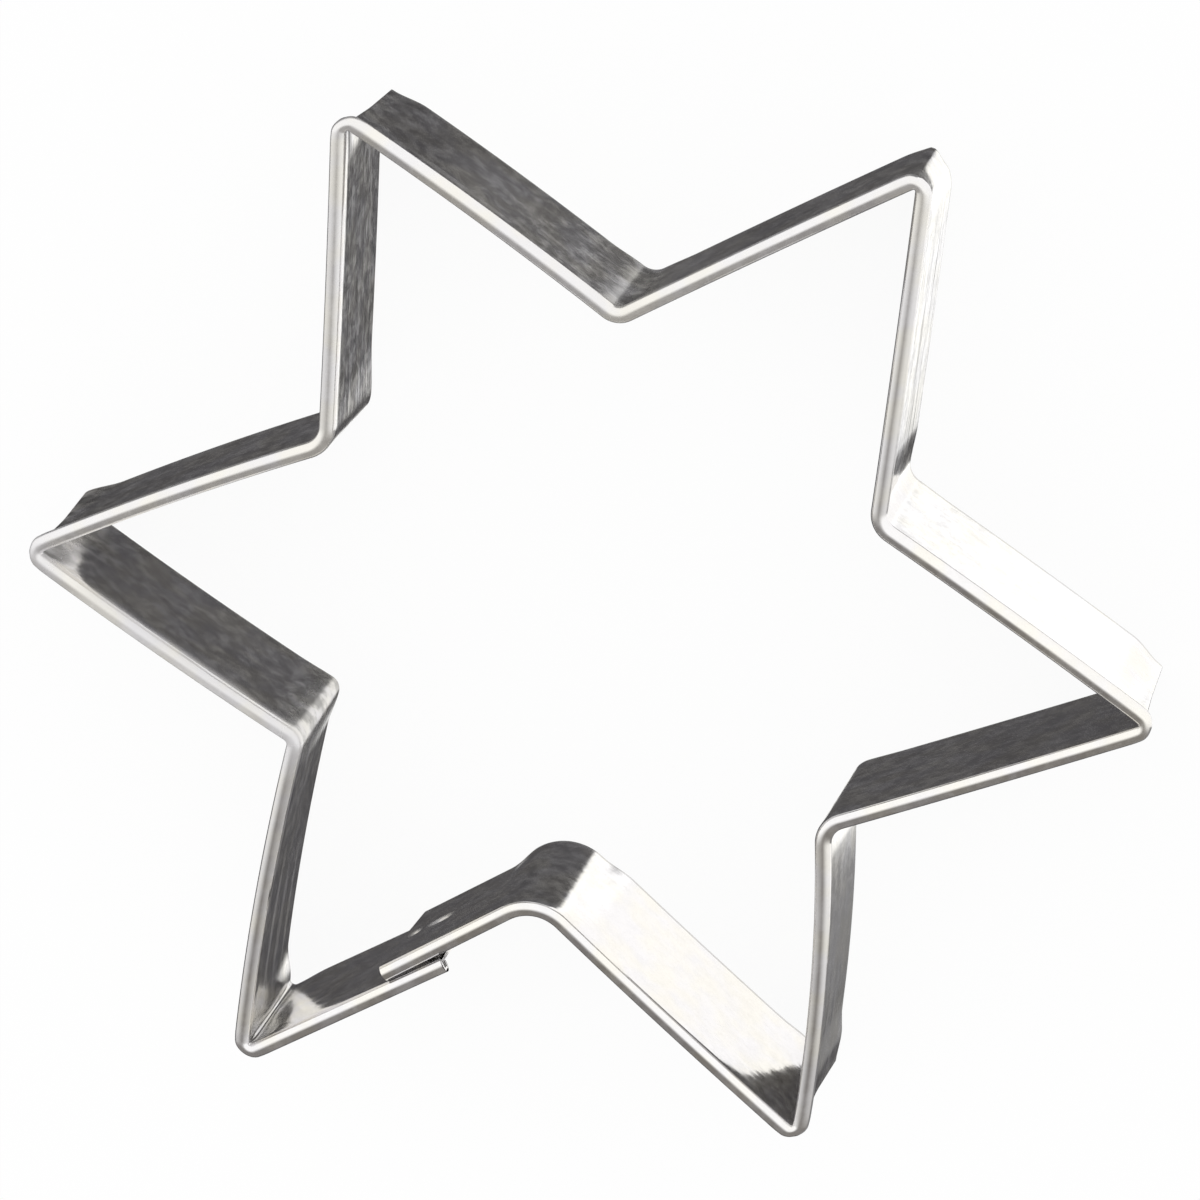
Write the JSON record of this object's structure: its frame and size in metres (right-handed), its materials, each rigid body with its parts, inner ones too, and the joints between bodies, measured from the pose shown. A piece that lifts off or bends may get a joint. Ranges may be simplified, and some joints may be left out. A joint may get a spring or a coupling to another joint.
{
  "type": "cookie cutter",
  "caption": "Star-shaped tinplate cookie cutter with a rolled rim, a bare cutting edge and a spot-welded lap.",
  "frame": {"origin": "middle of the star on the plane of the cutting edge", "axes": "+Z from the cutting edge up to the rolled rim; +X to one tip of the star, +Y towards the side opposite the lap"},
  "size_m": [0.1098, 0.099, 0.0178],
  "materials": {
    "tinplate": "bright tinned steel sheet, lightly hazed and scratched",
    "weld_metal": "dull spot-weld metal"
  },
  "bodies": {
    "root": {"cutter_band": "tinplate", "round_weld": "weld_metal", "long_weld": "weld_metal"}
  },
  "joints": []
}
